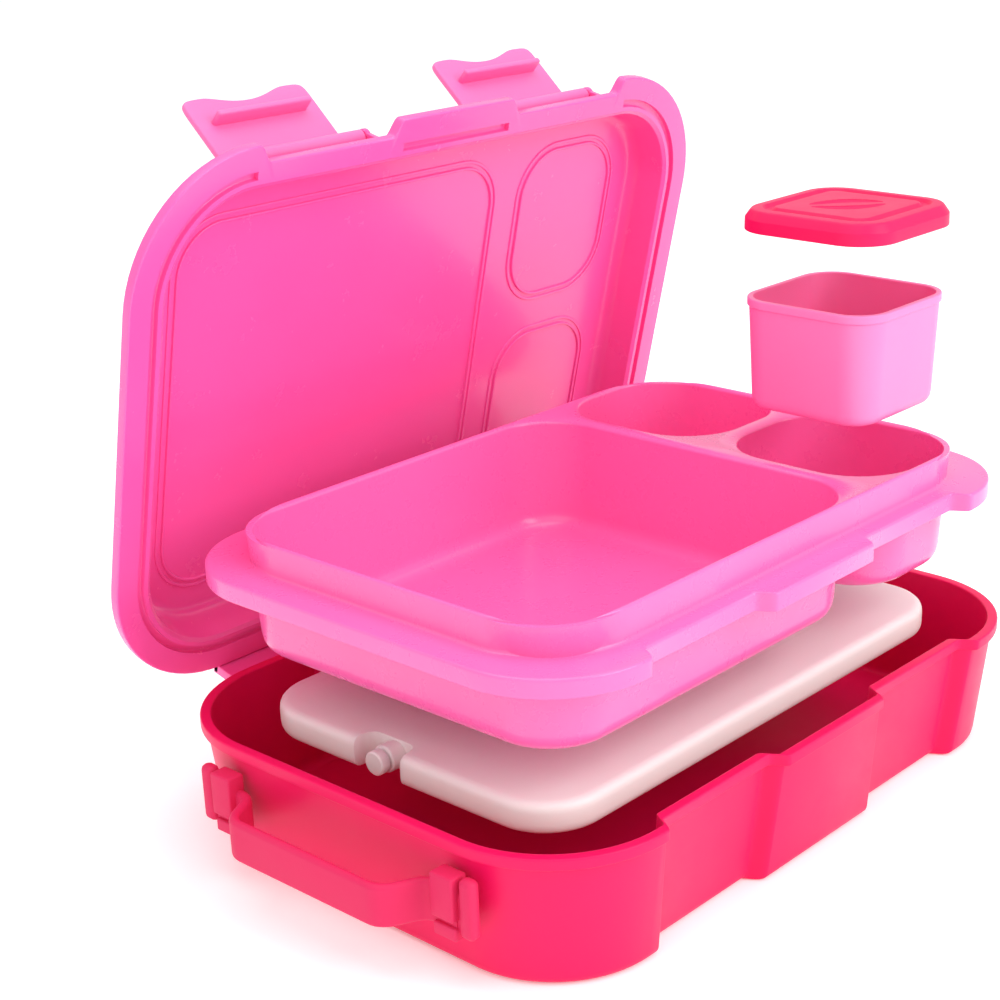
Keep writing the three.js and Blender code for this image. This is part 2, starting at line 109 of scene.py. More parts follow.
def add_node(tree: bpy.types.NodeTree, kind: str, **inputs: object) -> bpy.types.Node:
    """Adds one node and fills its inputs; a node socket given as a value is linked.

    Args:
        tree: the node tree to add to.
        kind: the node's Blender type name.
        inputs: input names, with _ for a space, and their values or source sockets.

    Returns:
        The new node.
    """
    node = tree.nodes.new(kind)
    for name, value in inputs.items():
        socket = node.inputs[name.replace("_", " ")]
        if isinstance(value, bpy.types.NodeSocket):
            tree.links.new(value, socket)
        else:
            socket.default_value = value
    return node


PLASTIC_IOR = 1.49
COAT_ROUGHNESS = 0.12
GRAIN_STRENGTH = 0.25
WEAR_MM = 14.0  # size of the patches of uneven gloss


@dataclass(frozen=True)
class MouldedFinish:
    """One moulded plastic: its colour and how its skin scatters and reflects light."""

    name: str
    colour: str
    deep_colour: str
    roughness: float
    roughness_spread: float = 0.08
    grain_mm: float = 0.9  # coarser than the mould's real grain, so that it shows
    grain_height_mm: float = 0.01
    flow_mm: float = 60.0  # size of the clouds of slightly deeper colour
    coat: float = 0.0
    scatter: float = 0.0
    scatter_mm: float = 4.0
    scatter_tint: tuple[float, float, float] = (1.0, 0.45, 0.5)
    specular: float = 0.5

    def build(self) -> bpy.types.Material:
        """Makes the Blender material for this finish.

        Returns:
            A material with flow-mottled colour, uneven gloss and a fine moulded grain.
        """
        material = bpy.data.materials.new(self.name)
        material.use_nodes = True
        tree = material.node_tree
        tree.nodes.clear()
        place = add_node(tree, "ShaderNodeTexCoord").outputs["Object"]
        flow_scale, wear_scale, grain_scale = (
            1 / (size * MM) for size in (self.flow_mm, WEAR_MM, self.grain_mm)
        )
        flow = add_node(tree, "ShaderNodeTexNoise", Vector=place, Scale=flow_scale, Detail=3.0)
        tone = add_node(tree, "ShaderNodeMix")
        tone.data_type = "RGBA"
        tree.links.new(flow.outputs["Fac"], tone.inputs[0])
        tone.inputs[6].default_value = linear(self.deep_colour)
        tone.inputs[7].default_value = linear(self.colour)
        wear = add_node(
            tree, "ShaderNodeTexNoise", Vector=place, Scale=wear_scale, Detail=5.0, Roughness=0.62
        )
        gloss = add_node(
            tree,
            "ShaderNodeMapRange",
            Value=wear.outputs["Fac"],
            To_Min=self.roughness - self.roughness_spread,
            To_Max=self.roughness + self.roughness_spread,
        )
        grain = add_node(tree, "ShaderNodeTexNoise", Vector=place, Scale=grain_scale, Detail=2.0)
        relief = add_node(
            tree,
            "ShaderNodeBump",
            Height=grain.outputs["Fac"],
            Strength=GRAIN_STRENGTH,
            Distance=self.grain_height_mm * MM,
        )
        skin = add_node(
            tree,
            "ShaderNodeBsdfPrincipled",
            Base_Color=tone.outputs[2],
            Roughness=gloss.outputs["Result"],
            Normal=relief.outputs["Normal"],
            IOR=PLASTIC_IOR,
            Specular_IOR_Level=self.specular,
            Coat_Weight=self.coat,
            Coat_Roughness=COAT_ROUGHNESS,
            Subsurface_Weight=self.scatter,
            Subsurface_Scale=self.scatter_mm * MM,
        )
        skin.inputs["Subsurface Radius"].default_value = self.scatter_tint
        out = add_node(tree, "ShaderNodeOutputMaterial")
        tree.links.new(skin.outputs["BSDF"], out.inputs["Surface"])
        return material


FINISHES: dict[Slot, MouldedFinish] = {
    # Satin polypropylene: saturated, with only a weak sheen.
    Slot.BASE: MouldedFinish(
        "moulded_cherry_polypropylene", "f0125f", "e60c58", 0.4, specular=0.25
    ),
    # Soft-touch elastomer: duller and a little greyer than the box it hangs on.
    Slot.HANDLE: MouldedFinish(
        "soft_touch_elastomer", "e02a5f", "d62459", 0.55, grain_mm=0.5, specular=0.25
    ),
    # Polished copolyester lid: the smoothest piece, with a clear coat and a trace of scatter.
    Slot.LID: MouldedFinish(
        "polished_candy_copolyester", "ff5fb0", "fc56a8", 0.26, 0.05, coat=0.25, scatter=0.06
    ),
    # Flexible latch plastic, satin so that the hook and humps read by shading.
    Slot.LATCH: MouldedFinish("flexible_latch_plastic", "ff74b4", "fb6aac", 0.42, scatter=0.1),
    # Frosted polyethylene skin: pale and milky, lit from inside by scatter.
    Slot.PACK: MouldedFinish(
        "frosted_polyethylene", "f7f1ee", "f3eae7", 0.4, grain_mm=1.6, grain_height_mm=0.03,
        scatter=0.6, scatter_mm=9.0, scatter_tint=(1.0, 0.92, 0.9),
    ),
    Slot.GEL: MouldedFinish("frozen_gel", "e8eef2", "dde6ec", 0.3, scatter=0.5, scatter_mm=8.0),
    # Glossy tray copolyester: paler than the lid, under a thin clear coat.
    Slot.TRAY: MouldedFinish("glossy_rose_copolyester", "fe6fb6", "fb66b0", 0.28, 0.06, coat=0.25),
    # Satin cup plastic: the palest pink.
    Slot.CUP: MouldedFinish(
        "satin_rose_polypropylene", "fe86c0", "fc7ebb", 0.38, scatter=0.1, scatter_mm=5.0
    ),
    # The cup's lid takes after the box in colour and sheen.
    Slot.CUP_LID: MouldedFinish(
        "flexible_cherry_lid_plastic", "ec0a5c", "e40856", 0.42, specular=0.3
    ),
}


class Palette:
    """Makes each finish's material once and hands it out."""

    def __init__(self) -> None:
        """Starts with no material made."""
        self.made: dict[Slot, bpy.types.Material] = {}

    def of(self, slot: Slot) -> bpy.types.Material:
        """The material of a slot."""
        if slot not in self.made:
            self.made[slot] = FINISHES[slot].build()
        return self.made[slot]


PALETTE = Palette()

# --- outlines and moulded forms


@dataclass(frozen=True)
class Outline:
    """A rounded rectangle, with or without the two latch recesses in its front."""

    half_x: float
    half_y: float
    radius: float
    recessed: bool = False
    centre: Point2 = (0.0, 0.0)

    def ring(self, inset: float) -> list[Point2]:
        """The outline moved inwards.

        Args:
            inset: how far inwards.

        Returns:
            Points going round the outline; every inset gives the same number of points.
        """
        hx, hy = self.half_x - inset, self.half_y - inset
        r = max(self.radius - inset, 0.8)
        points: list[Point2] = []
        if self.recessed:
            for start, end in ((-RECESS_TO, -RECESS_FROM), (RECESS_FROM, RECESS_TO)):
                points += self._ease(start + inset * 0.4, -hy, 1)
                points += self._ease(end - inset * 0.4, -hy, -1)
        for sign_x, sign_y, turn in ((1, -1, -0.5), (1, 1, 0.0), (-1, 1, 0.5), (-1, -1, 1.0)):
            for i in range(ARC_STEPS + 1):
                angle = math.pi * (turn + 0.5 * i / ARC_STEPS)
                x = sign_x * (hx - r) + r * math.cos(angle)
                y = sign_y * (hy - r) + r * math.sin(angle)
                points.append((x, y))
        return [(x + self.centre[0], y + self.centre[1]) for x, y in points]

    @staticmethod
    def _ease(x: float, y: float, direction: int) -> list[Point2]:
        """The S-shaped step into or out of a latch recess.

        Args:
            x: middle of the step.
            y: the front's y outside the recess.
            direction: 1 into the recess, -1 out of it.

        Returns:
            Points from left to right.
        """
        steps = [i / EASE_STEPS for i in range(EASE_STEPS + 1)]
        along = [x + RECESS_EASE * (t - 0.5) for t in steps]
        deep = [t * t * (3 - 2 * t) for t in (steps if direction > 0 else steps[::-1])]
        return [(a, y + RECESS_DEEP * d) for a, d in zip(along, deep)]


def filleted(corners: Sequence[Corner]) -> list[Point2]:
    """Rounds the corners of an open profile.

    Args:
        corners: (inset, height, fillet radius) of each corner in turn.

    Returns:
        (inset, height) of each level, with the fillets as short curves.
    """
    points: list[Point2] = [corners[0][:2]]
    for before, here, after in zip(corners, corners[1:], corners[2:]):
        p = Vector(here[:2])
        back, ahead = Vector(before[:2]) - p, Vector(after[:2]) - p
        if here[2] <= 0 or back.length == 0 or ahead.length == 0:
            points.append(here[:2])
            continue
        half = back.angle(ahead) / 2
        reach = min(here[2] / math.tan(half), 0.48 * back.length, 0.48 * ahead.length)
        a, b = p + back.normalized() * reach, p + ahead.normalized() * reach
        for i in range(FILLET_STEPS + 1):
            t = i / FILLET_STEPS
            q = a * (1 - t) ** 2 + p * 2 * t * (1 - t) + b * t * t
            points.append((q.x, q.y))
    points.append(corners[-1][:2])
    return points


def finished(mesh: bpy.types.Mesh) -> bpy.types.Mesh:
    """Welds a mesh, turns its faces outwards and smooths it up to its sharp edges.

    Args:
        mesh: the mesh to finish in place.

    Returns:
        The same mesh.
    """
    work = bmesh.new()
    work.from_mesh(mesh)
    bmesh.ops.remove_doubles(work, verts=work.verts, dist=WELD_MM * MM)
    bmesh.ops.recalc_face_normals(work, faces=work.faces)
    work.to_mesh(mesh)
    work.free()
    mesh.shade_smooth()
    mesh.set_sharp_from_angle(angle=SHARP_ANGLE)
    return mesh


def placed(name: str, data: bpy.types.ID) -> bpy.types.Object:
    """A new object in the scene.

    Args:
        name: name of the object.
        data: its mesh, light or camera.

    Returns:
        The object, linked to the scene.
    """
    thing = bpy.data.objects.new(name, data)
    bpy.context.scene.collection.objects.link(thing)
    return thing


def band(low: int, high: int, count: int) -> list[Sequence[int]]:
    """The faces between two rings of count points, from the index of each ring's first point."""
    turns = [(i, (i + 1) % count) for i in range(count)]
    return [(low + i, low + j, high + j, high + i) for i, j in turns]


def meshed(name: str, rings: Sequence[Ring], faces: Sequence[Sequence[int]]) -> bpy.types.Mesh:
    """A finished mesh in metres from rings in millimetres and the faces between them.

    Args:
        name: name of the mesh.
        rings: rings of equal point counts, in millimetres.
        faces: point indices of each face, counted through the rings in turn.

    Returns:
        The mesh.
    """
    mesh = bpy.data.meshes.new(name)
    mesh.from_pydata([Vector(point) * MM for ring in rings for point in ring], [], faces)
    return finished(mesh)


def skinned(name: str, rings: Sequence[Ring]) -> bpy.types.Mesh:
    """Stretches a skin over a stack of rings and closes both ends.

    Args:
        name: name of the mesh.
        rings: rings of equal point counts, in millimetres.

    Returns:
        A closed mesh in metres.
    """
    count = len(rings[0])
    starts = [level * count for level in range(len(rings))]
    faces: list[Sequence[int]] = [tuple(range(count))]
    for low, high in zip(starts, starts[1:]):
        faces += band(low, high, count)
    faces.append(tuple(range(starts[-1], starts[-1] + count)))
    return meshed(name, rings, faces)


def loop_skin(name: str, rings: Sequence[Ring]) -> bpy.types.Mesh:
    """A skin over rings whose last one joins the first, so that it closes on itself.

    Args:
        name: name of the mesh.
        rings: rings of equal point counts, in millimetres.

    Returns:
        A closed mesh in metres.
    """
    count = len(rings[0])
    starts = [level * count for level in range(len(rings))]
    faces: list[Sequence[int]] = []
    for low, high in zip(starts, [*starts[1:], 0]):
        faces += band(low, high, count)
    return meshed(name, rings, faces)


def stacked(outline: Outline, levels: Sequence[Point2]) -> list[Ring]:
    """The outline's ring at each (inset, height) level."""
    return [[(x, y, z) for x, y in outline.ring(inset)] for inset, z in levels]


def moulded(name: str, outline: Outline, corners: Sequence[Corner]) -> bpy.types.Mesh:
    """A moulded form: one outline carried along a filleted profile.

    Args:
        name: name of the mesh.
        outline: the outline seen from above.
        corners: (inset, height, fillet radius) in turn; a flat face closes the form inside
            the first one and another inside the last.

    Returns:
        A closed mesh in metres.
    """
    return skinned(name, stacked(outline, filleted(corners)))


def block(
    name: str, low: Sequence[float], high: Sequence[float], round_mm: float
) -> bpy.types.Mesh:
    """A box between two corners with rounded edges.

    Args:
        name: name of the mesh.
        low: corner of least x, y and z.
        high: opposite corner.
        round_mm: radius of the edges, at most 0.45 of the shortest side.

    Returns:
        A closed mesh in metres.
    """
    work = bmesh.new()
    bmesh.ops.create_cube(work, size=1.0)
    size = [b - a for a, b in zip(low, high)]
    for vert in work.verts:
        vert.co = Vector([(a + s * (c + 0.5)) * MM for a, s, c in zip(low, size, vert.co)])
    reach = min(round_mm, 0.45 * min(size)) * MM
    bmesh.ops.bevel(
        work, geom=work.edges[:], offset=reach, segments=3, profile=0.5, affect="EDGES"
    )
    mesh = bpy.data.meshes.new(name)
    work.to_mesh(mesh)
    work.free()
    return finished(mesh)


def bar(name: str, radius: float, x0: float, x1: float, y: float, z: float) -> bpy.types.Mesh:
    """A round bar along X with eased ends.

    Args:
        name: name of the mesh.
        radius: radius of the bar.
        x0: left end.
        x1: right end.
        y: y of the bar's axis.
        z: z of the bar's axis.

    Returns:
        A closed mesh in metres.
    """
    ease = min(0.5, radius * 0.3)
    sections = [(x0, radius - ease), (x0 + ease, radius), (x1 - ease, radius), (x1, radius - ease)]
    steps = [2 * math.pi * i / BAR_FACETS for i in range(BAR_FACETS)]
    rings = [[(x, y + r * math.cos(a), z + r * math.sin(a)) for a in steps] for x, r in sections]
    return skinned(name, rings)


def gathered(name: str, meshes: Sequence[bpy.types.Mesh]) -> bpy.types.Mesh:
    """Puts several meshes into one.

    Args:
        name: name of the result.
        meshes: the meshes to put together.

    Returns:
        One mesh with every part, smoothed up to its sharp edges.
    """
    work = bmesh.new()
    for mesh in meshes:
        work.from_mesh(mesh)
    whole = bpy.data.meshes.new(name)
    work.to_mesh(whole)
    work.free()
    whole.shade_smooth()
    whole.set_sharp_from_angle(angle=SHARP_ANGLE)
    return whole


def carved(
    name: str, body: bpy.types.Mesh, steps: Sequence[tuple[str, bpy.types.Mesh]]
) -> bpy.types.Mesh:
    """Joins or cuts solids one after another.

    Args:
        name: name of the result.
        body: the first solid.
        steps: ("UNION" or "DIFFERENCE", solid) pairs in order.

    Returns:
        The finished mesh.
    """
    host = placed(name + "_blank", body)
    tools = []
    for operation, mesh in steps:
        tool = placed(name + "_tool", mesh)
        modifier = host.modifiers.new("step", "BOOLEAN")
        modifier.operation, modifier.object, modifier.solver = operation, tool, "EXACT"
        tools.append(tool)
    graph = bpy.context.evaluated_depsgraph_get()
    result = bpy.data.meshes.new_from_object(host.evaluated_get(graph))
    for item in [host, *tools]:
        bpy.data.objects.remove(item)
    result.name = name
    return finished(result)


def bezier(points: Sequence[Point2], steps: int) -> list[Point2]:
    """Points along a cubic curve, both ends included.

    Args:
        points: start, two handles and end.
        steps: how many stretches to cut the curve into.

    Returns:
        One point more than there are steps.
    """
    a, b, c, d = (Vector(p) for p in points)
    curve = []
    for i in range(steps + 1):
        t = i / steps
        p = a * (1 - t) ** 3 + b * 3 * t * (1 - t) ** 2 + c * 3 * t * t * (1 - t) + d * t**3
        curve.append((p.x, p.y))
    return curve


def moved(mesh: bpy.types.Mesh, place: Matrix) -> bpy.types.Mesh:
    """The mesh with its points carried by a transform given in millimetres.

    Args:
        mesh: the mesh to move in place.
        place: the transform, in millimetres.

    Returns:
        The same mesh.
    """
    metres = place.copy()
    metres.translation = place.translation * MM
    mesh.transform(metres)
    return mesh


def lid_place() -> Matrix:
    """Carries the shut lid's own frame to where the lid stands open.

    Returns:
        The transform, in millimetres.
    """
    turn = Matrix.Rotation(-LID_OPEN, 4, "X")
    pivot = Matrix.Translation((0, HINGE_Y, HINGE_Z))
    return pivot @ turn @ Matrix.Translation((0, -HINGE_Y, LID_SEAT - HINGE_Z))


def raised(height: float, x: float = 0.0, y: float = 0.0) -> Matrix:
    """A shift to a place above the table."""
    return Matrix.Translation((x, y, height))


def piece(name: str, mesh: bpy.types.Mesh, body: str, slot: Slot, *nodes: str) -> bpy.types.Object:
    """Adds one visible piece that rides on a body.

    Args:
        name: the piece's name.
        mesh: its mesh, already in its place.
        body: the CAD body that it moves with.
        slot: the slot that it takes its finish from.
        nodes: the CAD nodes that it stands for.

    Returns:
        The new object.
    """
    mesh.materials.clear()
    mesh.materials.append(PALETTE.of(slot))
    thing = placed(name, mesh)
    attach(thing, body)
    if nodes:
        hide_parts(*nodes)
    LOG.info("%s rides on %s in %s", name, body, slot.value)
    return thing


# --- ledge blocks by geometry nodes


def ledge_spreader() -> bpy.types.NodeTree:
    """A node tree that puts one rounded block on every point of a mesh.

    Returns:
        The tree, with inputs Geometry, Block and Finish.
    """
    tree = bpy.data.node_groups.new("ledge_spreader", "GeometryNodeTree")
    face = tree.interface
    face.new_socket("Geometry", in_out="INPUT", socket_type="NodeSocketGeometry")
    face.new_socket("Block", in_out="INPUT", socket_type="NodeSocketObject")
    face.new_socket("Finish", in_out="INPUT", socket_type="NodeSocketMaterial")
    face.new_socket("Geometry", in_out="OUTPUT", socket_type="NodeSocketGeometry")
    source = add_node(tree, "NodeGroupInput")
    shape = add_node(tree, "GeometryNodeObjectInfo", Object=source.outputs["Block"])
    spread = add_node(
        tree,
        "GeometryNodeInstanceOnPoints",
        Points=source.outputs["Geometry"],
        Instance=shape.outputs["Geometry"],
    )
    real = add_node(tree, "GeometryNodeRealizeInstances", Geometry=spread.outputs["Instances"])
    painted = add_node(
        tree,
        "GeometryNodeSetMaterial",
        Geometry=real.outputs["Geometry"],
        Material=source.outputs["Finish"],
    )
    sink = add_node(tree, "NodeGroupOutput")
    tree.links.new(painted.outputs["Geometry"], sink.inputs["Geometry"])
    return tree


def spread_blocks(
    name: str,
    tree: bpy.types.NodeTree,
    size: Sequence[float],
    places: Sequence[Sequence[float]],
    slot: Slot,
) -> bpy.types.Mesh:
    """Bakes one rounded block onto each place.

    Args:
        name: name of the mesh.
        tree: the spreading node tree.
        size: the block's length, width and height.
        places: the middle of each block's top face.
        slot: the finish of the blocks.

    Returns:
        One mesh with every block.
    """
    half = [side / 2 for side in size]
    shape = block(name + "_block", (-half[0], -half[1], -size[2]), (half[0], half[1], 0), 0.7)
    seed = placed(name + "_block", shape)
    points = bpy.data.meshes.new(name + "_points")
    points.from_pydata([Vector(p) * MM for p in places], [], [])
    host = placed(name + "_host", points)
    modifier = host.modifiers.new("spread", "NODES")
    modifier.node_group = tree
    for item in tree.interface.items_tree:
        if item.in_out == "INPUT" and item.name == "Block":
            modifier[item.identifier] = seed
        if item.in_out == "INPUT" and item.name == "Finish":
            modifier[item.identifier] = PALETTE.of(slot)
    graph = bpy.context.evaluated_depsgraph_get()
    baked = bpy.data.meshes.new_from_object(host.evaluated_get(graph))
    for item in (seed, host):
        bpy.data.objects.remove(item)
    return finished(baked)


# --- box


@dataclass(frozen=True)
class Box:
    """The cherry box: shell, rim lip, hinge lugs and the blocks that the tray stands on."""

    half_x: float = 140.0
    half_y: float = 98.0
    radius: float = 46.0
    height: float = 48.5
    wall: float = 2.3
    floor: float = 2.4
    lip: float = 1.6
    lip_height: float = 4.0
    draft: float = 4.5
    foot: float = 3.5
    edge_round: float = 0.8
    stop_top: float = 41.0
    stop_size: tuple[float, float, float] = (12.0, 3.2, 9.0)
    stop_sink: float = 0.3  # how far a stop runs into the wall
    stop_xs: tuple[float, float] = (-60.0, 60.0)  # beside the middle ones of the long sides
    stop_ys: tuple[float, float] = (-30.0, 30.0)  # on the short sides
    lug_starts: tuple[float, float] = (42.0, 94.0)  # nearer edges of each side's two eyes
    lug_wide: float = 4.0
    lug_low: float = 31.0
    lug_high: float = 40.0
    eye_radius: float = 4.3
    pin_radius: float = 2.0
    pin_from: float = 41.5
    pin_to: float = 98.5

    def shell(self) -> bpy.types.Mesh:
        """The walls and floor in one moulding.

        Returns:
            The shell in its place.
        """
        outline = Outline(self.half_x, self.half_y, self.radius, recessed=True)
        under = self.height - self.lip_height
        wall_in = self.lip + self.wall
        corners = [
            (self.lip + self.draft + self.foot + 6, 0.0, 0),
            (self.lip + self.draft + 0.9, 0.0, self.foot),
            (self.lip + 0.4, under, 0.35),
            (0.0, under, 0.5),
            (0.0, self.height, self.edge_round),
            (wall_in, self.height, self.edge_round),
            (wall_in + self.draft, self.floor, self.foot),
            (wall_in + self.draft + 9, self.floor, 0),
        ]
        return moulded("box_shell", outline, corners)

    def stops(self) -> bpy.types.Mesh:
        """The blocks inside the rim that carry the tray's skirt.

        Returns:
            All eight in one mesh.
        """
        tree = ledge_spreader()
        length, deep, tall = self.stop_size
        top = self.stop_top
        reach_x = self.half_x - self.lip - self.wall - deep / 2 + self.stop_sink
        reach_y = self.half_y - self.lip - self.wall - deep / 2 + self.stop_sink
        long_side = [(0, -reach_y, top), *((x, reach_y, top) for x in (*self.stop_xs, 0))]
        short_side = [(side * reach_x, y, top) for side in (-1, 1) for y in self.stop_ys]
        along, across = (length, deep, tall), (deep, length, tall)
        first = spread_blocks("long_side_stops", tree, along, long_side, Slot.BASE)
        second = spread_blocks("short_side_stops", tree, across, short_side, Slot.BASE)
        return gathered("tray_stops", [first, second])

    def lugs(self) -> bpy.types.Mesh:
        """The four eyes behind the box that hold the hinge pins.

        Returns:
            Eyes and webs in one mesh.
        """
        parts = []
        wide = self.lug_wide
        for side in (-1, 1):
            for near in self.lug_starts:
                x0 = near if side > 0 else -near - wide
                parts.append(bar("eye", self.eye_radius, x0, x0 + wide, HINGE_Y, HINGE_Z))
                low = (x0 + 0.3, self.half_y - 4, self.lug_low)
                high = (x0 + wide - 0.3, HINGE_Y, self.lug_high)
                parts.append(block("web", low, high, 0.5))
        return gathered("hinge_lugs", parts)

    def dress(self) -> None:
        """Adds the box's pieces."""
        piece("box_shell", self.shell(), "base", Slot.BASE, "base_shell")
        piece("tray_stops", self.stops(), "base", Slot.BASE)
        piece("hinge_lugs", self.lugs(), "base", Slot.BASE)
        spans = {"left": (-self.pin_to, -self.pin_from), "right": (self.pin_from, self.pin_to)}
        for side, (low, high) in spans.items():
            pin = bar("pin", self.pin_radius, low, high, HINGE_Y, HINGE_Z)
            piece(f"{side}_hinge_rod", pin, "base", Slot.BASE, f"hinge_pin_{side}")


# --- carry handle


@dataclass(frozen=True)
class CarryHandle:
    """The soft strap across the left end, with its two keepers."""

    middle_z: float = 27.0
    tall: float = 15.0
    thick: float = 3.6
    grip_x: float = 156.2
    grip_half: float = 30.0
    tongue_x: float = 141.9
    bend_start: float = 46.0
    bend_pull: tuple[float, float] = (7.0, 10.0)  # from the grip's end to the bend's two handles
    bend_steps: int = 20
    end_half: float = 60.0
    edge_fill: float = 0.96  # share of half the thickness taken by the rounded edge
    edge_steps: int = 5
    pill_from: float = 57.7
    pill_to: float = 63.7
    pill_round: float = 2.1
    keeper_from: float = 47.1
    keeper_to: float = 56.7
    keeper_front: float = -146.4
    keeper_back: float = -140.4
    keeper_levels: tuple[float, float, float, float] = (17.6, 22.3, 24.5, 39.9)

    def path(self) -> list[Point2]:
        """The strap's centre line seen from above, from the rear end to the front one.

        Returns:
            Points along the line.
        """
        first, second = self.bend_pull
        bend = [
            (-self.tongue_x, self.bend_start),
            (-self.tongue_x, self.grip_half + first),
            (-self.grip_x, self.grip_half + second),
            (-self.grip_x, self.grip_half),
        ]
        half = [(-self.tongue_x, self.end_half), *bezier(bend, self.bend_steps)]
        return half + [(x, -y) for x, y in reversed(half)]

    def strap(self) -> bpy.types.Mesh:
        """The strap, swept along its path with rounded edges.

        Returns:
            The strap in its place.
        """
        path = [Vector(p) for p in self.path()]
        edge = self.thick / 2 * self.edge_fill
        section: list[Point2] = []
        for side, sign_z, turn in ((1, 1, 0.0), (-1, 1, 0.5), (-1, -1, 1.0), (1, -1, 1.5)):
            for i in range(self.edge_steps + 1):
                angle = math.pi * (turn + 0.5 * i / self.edge_steps)
                across = side * (self.thick / 2 - edge) + edge * math.cos(angle)
                up = sign_z * (self.tall / 2 - edge) + edge * math.sin(angle)
                section.append((across, up))
        rings: list[Ring] = []
        for i, here in enumerate(path):
            along = (path[min(i + 1, len(path) - 1)] - path[max(i - 1, 0)]).normalized()
            out = Vector((-along.y, along.x))
            points = [(here + out * across, up) for across, up in section]
            rings.append([(spot.x, spot.y, self.middle_z + up) for spot, up in points])
        return skinned("strap", rings)

    def ends(self) -> list[bpy.types.Mesh]:
        """The pill-shaped stops outside the keepers.

        Returns:
            The front one, then the rear one.
        """
        pills = []
        for side in (-1, 1):
            near, far = sorted((side * self.pill_from, side * self.pill_to))
            low = (-self.tongue_x - 3.4, near, self.middle_z - 7.4)
            high = (-self.tongue_x + 1.5, far, self.middle_z + 13.4)
            pills.append(block("pill", low, high, self.pill_round))
        return pills

    def keeper(self, side: int) -> bpy.types.Mesh:
        """A keeper: a proud upper block, a slit and a lower block set back from it.

        Args:
            side: -1 for the front keeper, 1 for the rear one.

        Returns:
            The keeper in its place.
        """
        near, far = sorted((side * self.keeper_from, side * self.keeper_to))
        front, back = self.keeper_front, self.keeper_back
        low, slit_low, slit_top, top = self.keeper_levels
        upper = block("upper", (front, near, slit_top), (back + 1, far, top), 0.8)
        lower = block("lower", (front + 1.0, near, low), (back + 1, far, slit_low), 0.7)
        inner_low = (front + 2.2, near + 0.6, slit_low - 0.6)
        inner = block("inner", inner_low, (back, far - 0.6, slit_top + 0.6), 0.2)
        return gathered("keeper", [upper, lower, inner])

    def dress(self) -> None:
        """Adds the handle's pieces."""
        strap = gathered("carry_strap", [self.strap(), *self.ends()])
        piece("carry_strap", strap, "base", Slot.HANDLE, "carry_handle")
        piece("front_keeper", self.keeper(-1), "base", Slot.HANDLE, "handle_keeper_front")
        piece("rear_keeper", self.keeper(1), "base", Slot.HANDLE, "handle_keeper_rear")


# --- pockets of tray and lid


@dataclass(frozen=True)
class PocketPlan:
    """The plan of the tray's three pockets."""

    half_x: float = 117.0
    half_y: float = 75.5
    split: float = 50.0
    divider: float = 6.0
    radius: float = 24.0

    def outlines(self) -> list[Outline]:
        """The large pocket, then the front and the rear small ones.

        Returns:
            An outline for each pocket.
        """
        half = self.divider / 2
        areas = [
            (-self.half_x, self.split - half, -self.half_y, self.half_y),
            (self.split + half, self.half_x, -self.half_y, -half),
            (self.split + half, self.half_x, half, self.half_y),
        ]
        outlines = []
        for x0, x1, y0, y1 in areas:
            middle = ((x0 + x1) / 2, (y0 + y1) / 2)
            outlines.append(Outline((x1 - x0) / 2, (y1 - y0) / 2, self.radius, centre=middle))
        return outlines


POCKETS = PocketPlan()

# --- lid


